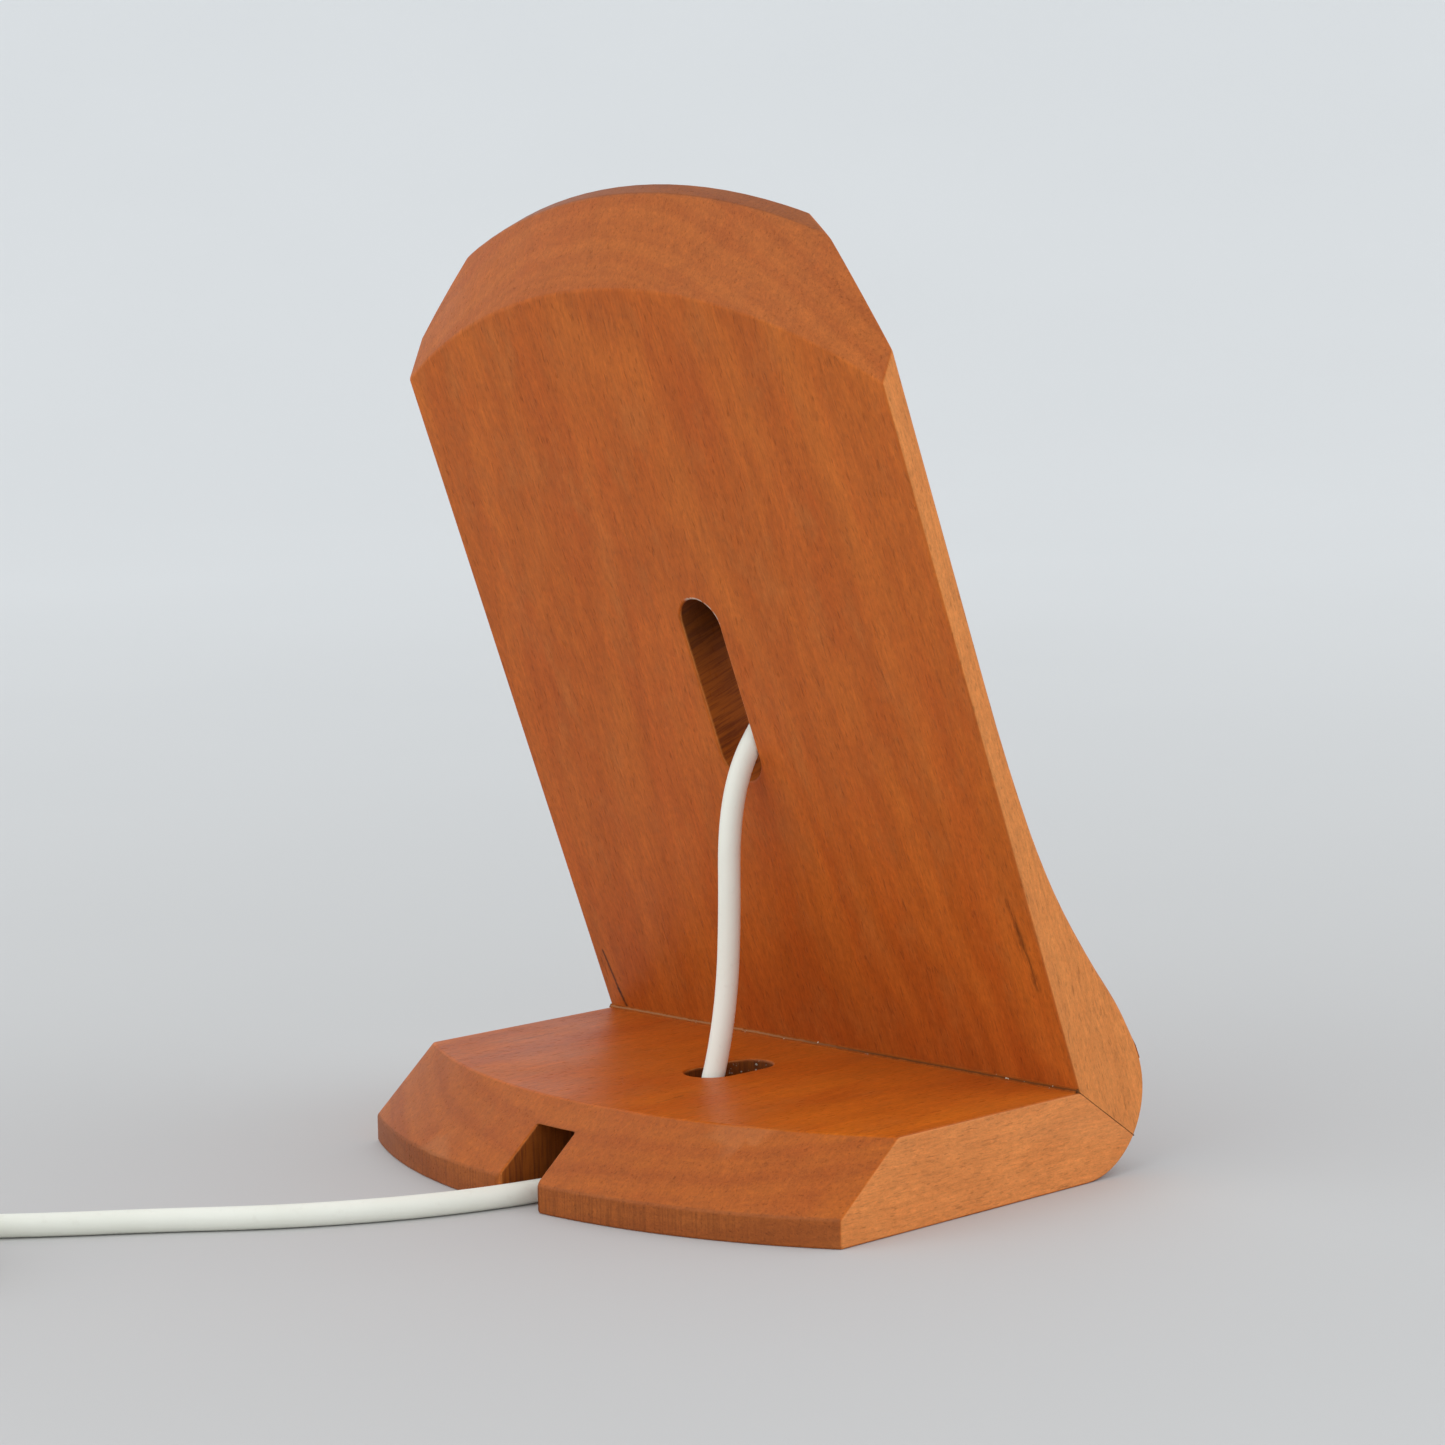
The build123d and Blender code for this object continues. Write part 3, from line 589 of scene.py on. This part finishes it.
def puck_face_mat():
    g = G("puck_white", rough=0.5, spec=0.45)
    bb = g.mapping(g.mapping(g.obj, scale=(1000, 1000, 1000), loc=(0, -Y0, -T)), rot=(-(math.pi / 2 - th), 0, 0))
    x, y, z = g.sep(bb)
    rr = g.vm("LENGTH", g.comb(g.math("SUBTRACT", x, XC), g.math("SUBTRACT", y, PUCK_V), 0.0))
    f = g.noise(bb, scale=9.0, detail=3.0, rough=0.65)
    n = g.noise(bb, scale=0.10, detail=3.0)
    col = g.mix(g.remap(n, 0.35, 0.65), (0.80, 0.80, 0.785), (0.765, 0.765, 0.745))
    rub = AND(g, g.remap(rr, 20.0, 23.0), g.remap(rr, 24.0, 26.2, 1.0, 0.0), g.remap(g.noise(bb, scale=0.6, detail=4.0), 0.5, 0.75))
    col = g.mix(g.math("MULTIPLY", rub, 0.28), col, (0.60, 0.59, 0.565))
    ring = AND(g, g.remap(rr, 22.85, 23.0), g.remap(rr, 23.15, 23.3, 1.0, 0.0))
    h = g.math("SUBTRACT", g.math("MULTIPLY", f, 0.25), g.math("MULTIPLY", ring, 1.0))
    return g.finish(col, g.remap(f, 0.3, 0.7, 0.44, 0.58), g.bump(h, 0.35, 0.00012))


def tie_mat():
    g = G("tie_grey", rough=0.9, spec=0.2)
    p = g.mapping(g.obj, scale=(1000, 1000, 1000))
    x, y, z = g.sep(p)
    wv = g.math("MULTIPLY", g.math("SINE", g.math("MULTIPLY", z, 9.0)),
                g.math("SINE", g.math("MULTIPLY", g.math("ADD", x, y), 9.0)))
    fz = g.noise(p, scale=5.0, detail=4.0, rough=0.7)
    col = g.mix(g.remap(wv, -0.8, 0.8), (0.075, 0.080, 0.088), (0.175, 0.182, 0.195))
    col = g.mix(g.math("MULTIPLY", g.remap(fz, 0.5, 0.8), 0.5), col, (0.30, 0.31, 0.33))
    return g.finish(col, g.remap(fz, 0.3, 0.7, 0.82, 0.98), g.bump(g.math("ADD", wv, fz), 0.6, 0.0002))


def beech_mat():
    g = G("dowel_beech", rough=0.6, spec=0.35)
    p = g.mapping(g.mapping(g.obj, scale=(1000, 1000, 1000)), rot=(-math.radians((90 + LEAN) / 2), 0, 0))
    fl = g.remap(g.noise(g.vm("MULTIPLY", p, (3.0, 3.0, 0.6)), detail=2.0), 0.6, 0.7)
    n = g.noise(g.vm("MULTIPLY", p, (0.8, 0.8, 0.1)), detail=3.0)
    col = g.mix(g.remap(n, 0.3, 0.7), (0.66, 0.46, 0.28), (0.56, 0.36, 0.20))
    col = g.mix(g.math("MULTIPLY", fl, 0.4), col, (0.36, 0.20, 0.10))
    return g.finish(col, g.remap(n, 0.3, 0.7, 0.52, 0.68), g.bump(fl, 0.2, 0.0001))


def pcb_mat():
    g = G("circuit_board", rough=0.35, spec=0.5)
    p = g.mapping(g.obj, scale=(1000, 1000, 1000))
    tr = g.vor(p, scale=0.9, feature="DISTANCE_TO_EDGE")
    n = g.noise(p, scale=2.0, detail=3.0)
    col = g.mix(g.remap(tr, 0.03, 0.08), (0.020, 0.130, 0.055), (0.010, 0.070, 0.030))
    return g.finish(col, g.remap(n, 0.3, 0.7, 0.3, 0.45), g.bump(tr, 0.3, 0.0001))


def copper_mat():
    g = G("copper", rough=0.35, metal=1.0)
    bb = g.mapping(g.mapping(g.obj, scale=(1000, 1000, 1000), loc=(0, -Y0, -T)), rot=(-(math.pi / 2 - th), 0, 0))
    x, y, z = g.sep(bb)
    rr = g.vm("LENGTH", g.comb(g.math("SUBTRACT", x, XC), g.math("SUBTRACT", y, PUCK_V), 0.0))
    wv = g.math("SINE", g.math("MULTIPLY", rr, 2 * math.pi / 0.9))
    n = g.noise(bb, scale=1.5, detail=3.0)
    col = g.mix(g.remap(wv, -1, 1), (0.30, 0.115, 0.045), (0.80, 0.37, 0.19))
    return g.finish(col, g.remap(n, 0.3, 0.7, 0.28, 0.45), g.bump(wv, 0.6, 0.0002))


M = {
    "mitre_glue": glue_mat(),
    "mitre_dowels": beech_mat(),
    "puck_pad": plastic("adhesive_foam", (0.030, 0.030, 0.032), (0.045, 0.045, 0.047), 0.85, 0.4, 0.25, 4.0, 0.5),
    "puck_shell": metal("puck_metal", (0.74, 0.75, 0.765), 0.38, (1, 1, 1), 0.06, 0.25, 7.0),
    "puck_face": puck_face_mat(),
    "puck_magnets": metal("magnet", (0.60, 0.60, 0.62), 0.22, (1, 1, 1), 0.08, 0.1, 3.0),
    "puck_circuit_board": pcb_mat(),
    "puck_ferrite": plastic("ferrite", (0.030, 0.030, 0.032), (0.050, 0.049, 0.050), 0.7, 0.5, 0.4, 5.0, 0.3),
    "puck_coil": copper_mat(),
    "lead_strain_relief": lead_mat(),
    "lead_tie": tie_mat(),
    "plug_boot": plastic("boot_white", (0.78, 0.78, 0.745), (0.75, 0.75, 0.71), 0.5, 0.15, 0.4, 8.0, 0.2),
    "plug_housing": plastic("plug_white", (0.80, 0.80, 0.775), (0.775, 0.775, 0.745), 0.36, 0.12, 0.5, 10.0, 0.12),
    "plug_shell": metal("plug_steel", (0.66, 0.66, 0.67), 0.28, (0.25, 4.0, 4.0), 0.14, 0.2, 2.5),
    "plug_insert": plastic("plug_black", (0.022, 0.022, 0.024), (0.034, 0.034, 0.036), 0.55, 0.3, 0.4, 9.0, 0.2),
}
for nm, mt in M.items():
    N[nm].data.materials.clear()
    N[nm].data.materials.append(mt)
lead.data.materials.append(M["lead_strain_relief"])
for nm in ("base_board", "upright_board"):
    N[nm].data.materials.clear()
    N[nm].data.materials.append(wood_base if nm == "base_board" else wood_up)
for nm in ("lead", "lead_coil", "lead_tail"):
    N[nm].data.materials.clear()
    N[nm].data.materials.append(M["lead_strain_relief"])

# ------------------------------------------------------------------ studio: a floor that sweeps up all round
def bowl():
    prof = [(0.0, 0.0), (0.12, 0.0), (0.3, 0.0), (0.6, 0.0), (0.8, 0.0)]
    R0, R1, H = 0.8, 2.6, 0.95
    for i in range(1, 25):
        t = i / 24
        prof.append((R0 + (R1 - R0) * t, H * (t ** 2.4)))
    n = 96
    vs, fs = [(0, 0, 0)], []
    for (r, z) in prof[1:]:
        for k_ in range(n):
            a = 2 * math.pi * k_ / n
            vs.append((r * math.cos(a), r * math.sin(a), z))
    for k_ in range(n):
        fs.append((0, 1 + k_, 1 + (k_ + 1) % n))
    for i in range(len(prof) - 2):
        for k_ in range(n):
            a, b = 1 + i * n + k_, 1 + i * n + (k_ + 1) % n
            fs.append((a, a + n, b + n, b))
    me = bpy.data.meshes.new("floor")
    me.from_pydata(vs, [], fs)
    me.shade_smooth()
    o = bpy.data.objects.new("floor", me)
    scn.collection.objects.link(o)
    g = G("floor_paper", rough=0.85, spec=0.25)
    p = g.mapping(g.obj, scale=(1000, 1000, 1000))
    rad = g.math("DIVIDE", g.vm("LENGTH", g.vm("MULTIPLY", p, (1, 1, 0))), 2600.0)
    # painted shade and light: the paper is darker near the middle and lighter out towards the rising wall, shaping
    # how bright the floor looks under the lamps
    tone = g.ramp(rad, FLOOR)
    n1 = g.noise(p, scale=0.004, detail=2.0)
    n2 = g.noise(p, scale=3.0, detail=3.0, rough=0.7)
    col = g.scale_col(tone, g.remap(n1, 0.3, 0.7, 0.993, 1.007))
    col = g.scale_col(col, g.remap(n2, 0.2, 0.8, 0.994, 1.006, smooth=False))
    me.materials.append(g.finish(col, g.remap(n2, 0.3, 0.7, 0.82, 0.9), g.bump(n2, 0.05, 0.00005)))
    return o


# paper tone against radius (as a fraction of 2.6 m): painted darker near the middle, lighter outwards
FLOOR = [(0.045, (0.575, 0.568, 0.562)), (0.17, (0.650, 0.648, 0.645)), (0.38, (0.750, 0.752, 0.752)),
         (0.80, (0.785, 0.790, 0.792))]
bowl()

w = bpy.data.worlds.new("studio")
scn.world = w
w.use_nodes = True
w.node_tree.nodes["Background"].inputs[0].default_value = (0.88, 0.925, 0.960, 1)
w.node_tree.nodes["Background"].inputs[1].default_value = 0.95


def area(name, direction, dist, size, watts, col, target=(0.0, 0.0, 0.05)):
    ld = bpy.data.lights.new(name, "AREA")
    ld.shape, ld.size, ld.size_y = "RECTANGLE", size[0], size[1]
    ld.energy, ld.color = watts, col
    o = bpy.data.objects.new(name, ld)
    scn.collection.objects.link(o)
    d = Vector(direction).normalized()
    o.location = Vector(target) + d * dist
    o.rotation_euler = d.to_track_quat("Z", "Y").to_euler()
    return o


hr = Vector((right.x, right.y, 0)).normalized()          # image right, on the floor
hb = Vector((back.x, back.y, 0)).normalized()            # towards the camera, on the floor
UPZ = Vector((0, 0, 1))
area("key_left", -hr * 0.75 + hb * 0.45 + UPZ * 0.62, 1.5, (1.7, 1.7), 7.0, (1.0, 0.985, 0.965))
area("fill_right", hr * 0.95 + hb * 0.10 + UPZ * 0.42, 1.5, (1.5, 1.2), 5.0, (1.0, 0.99, 0.98))
scn.view_settings.view_transform = "Standard"
scn.view_settings.look = "None"

bpy.context.view_layer.update()
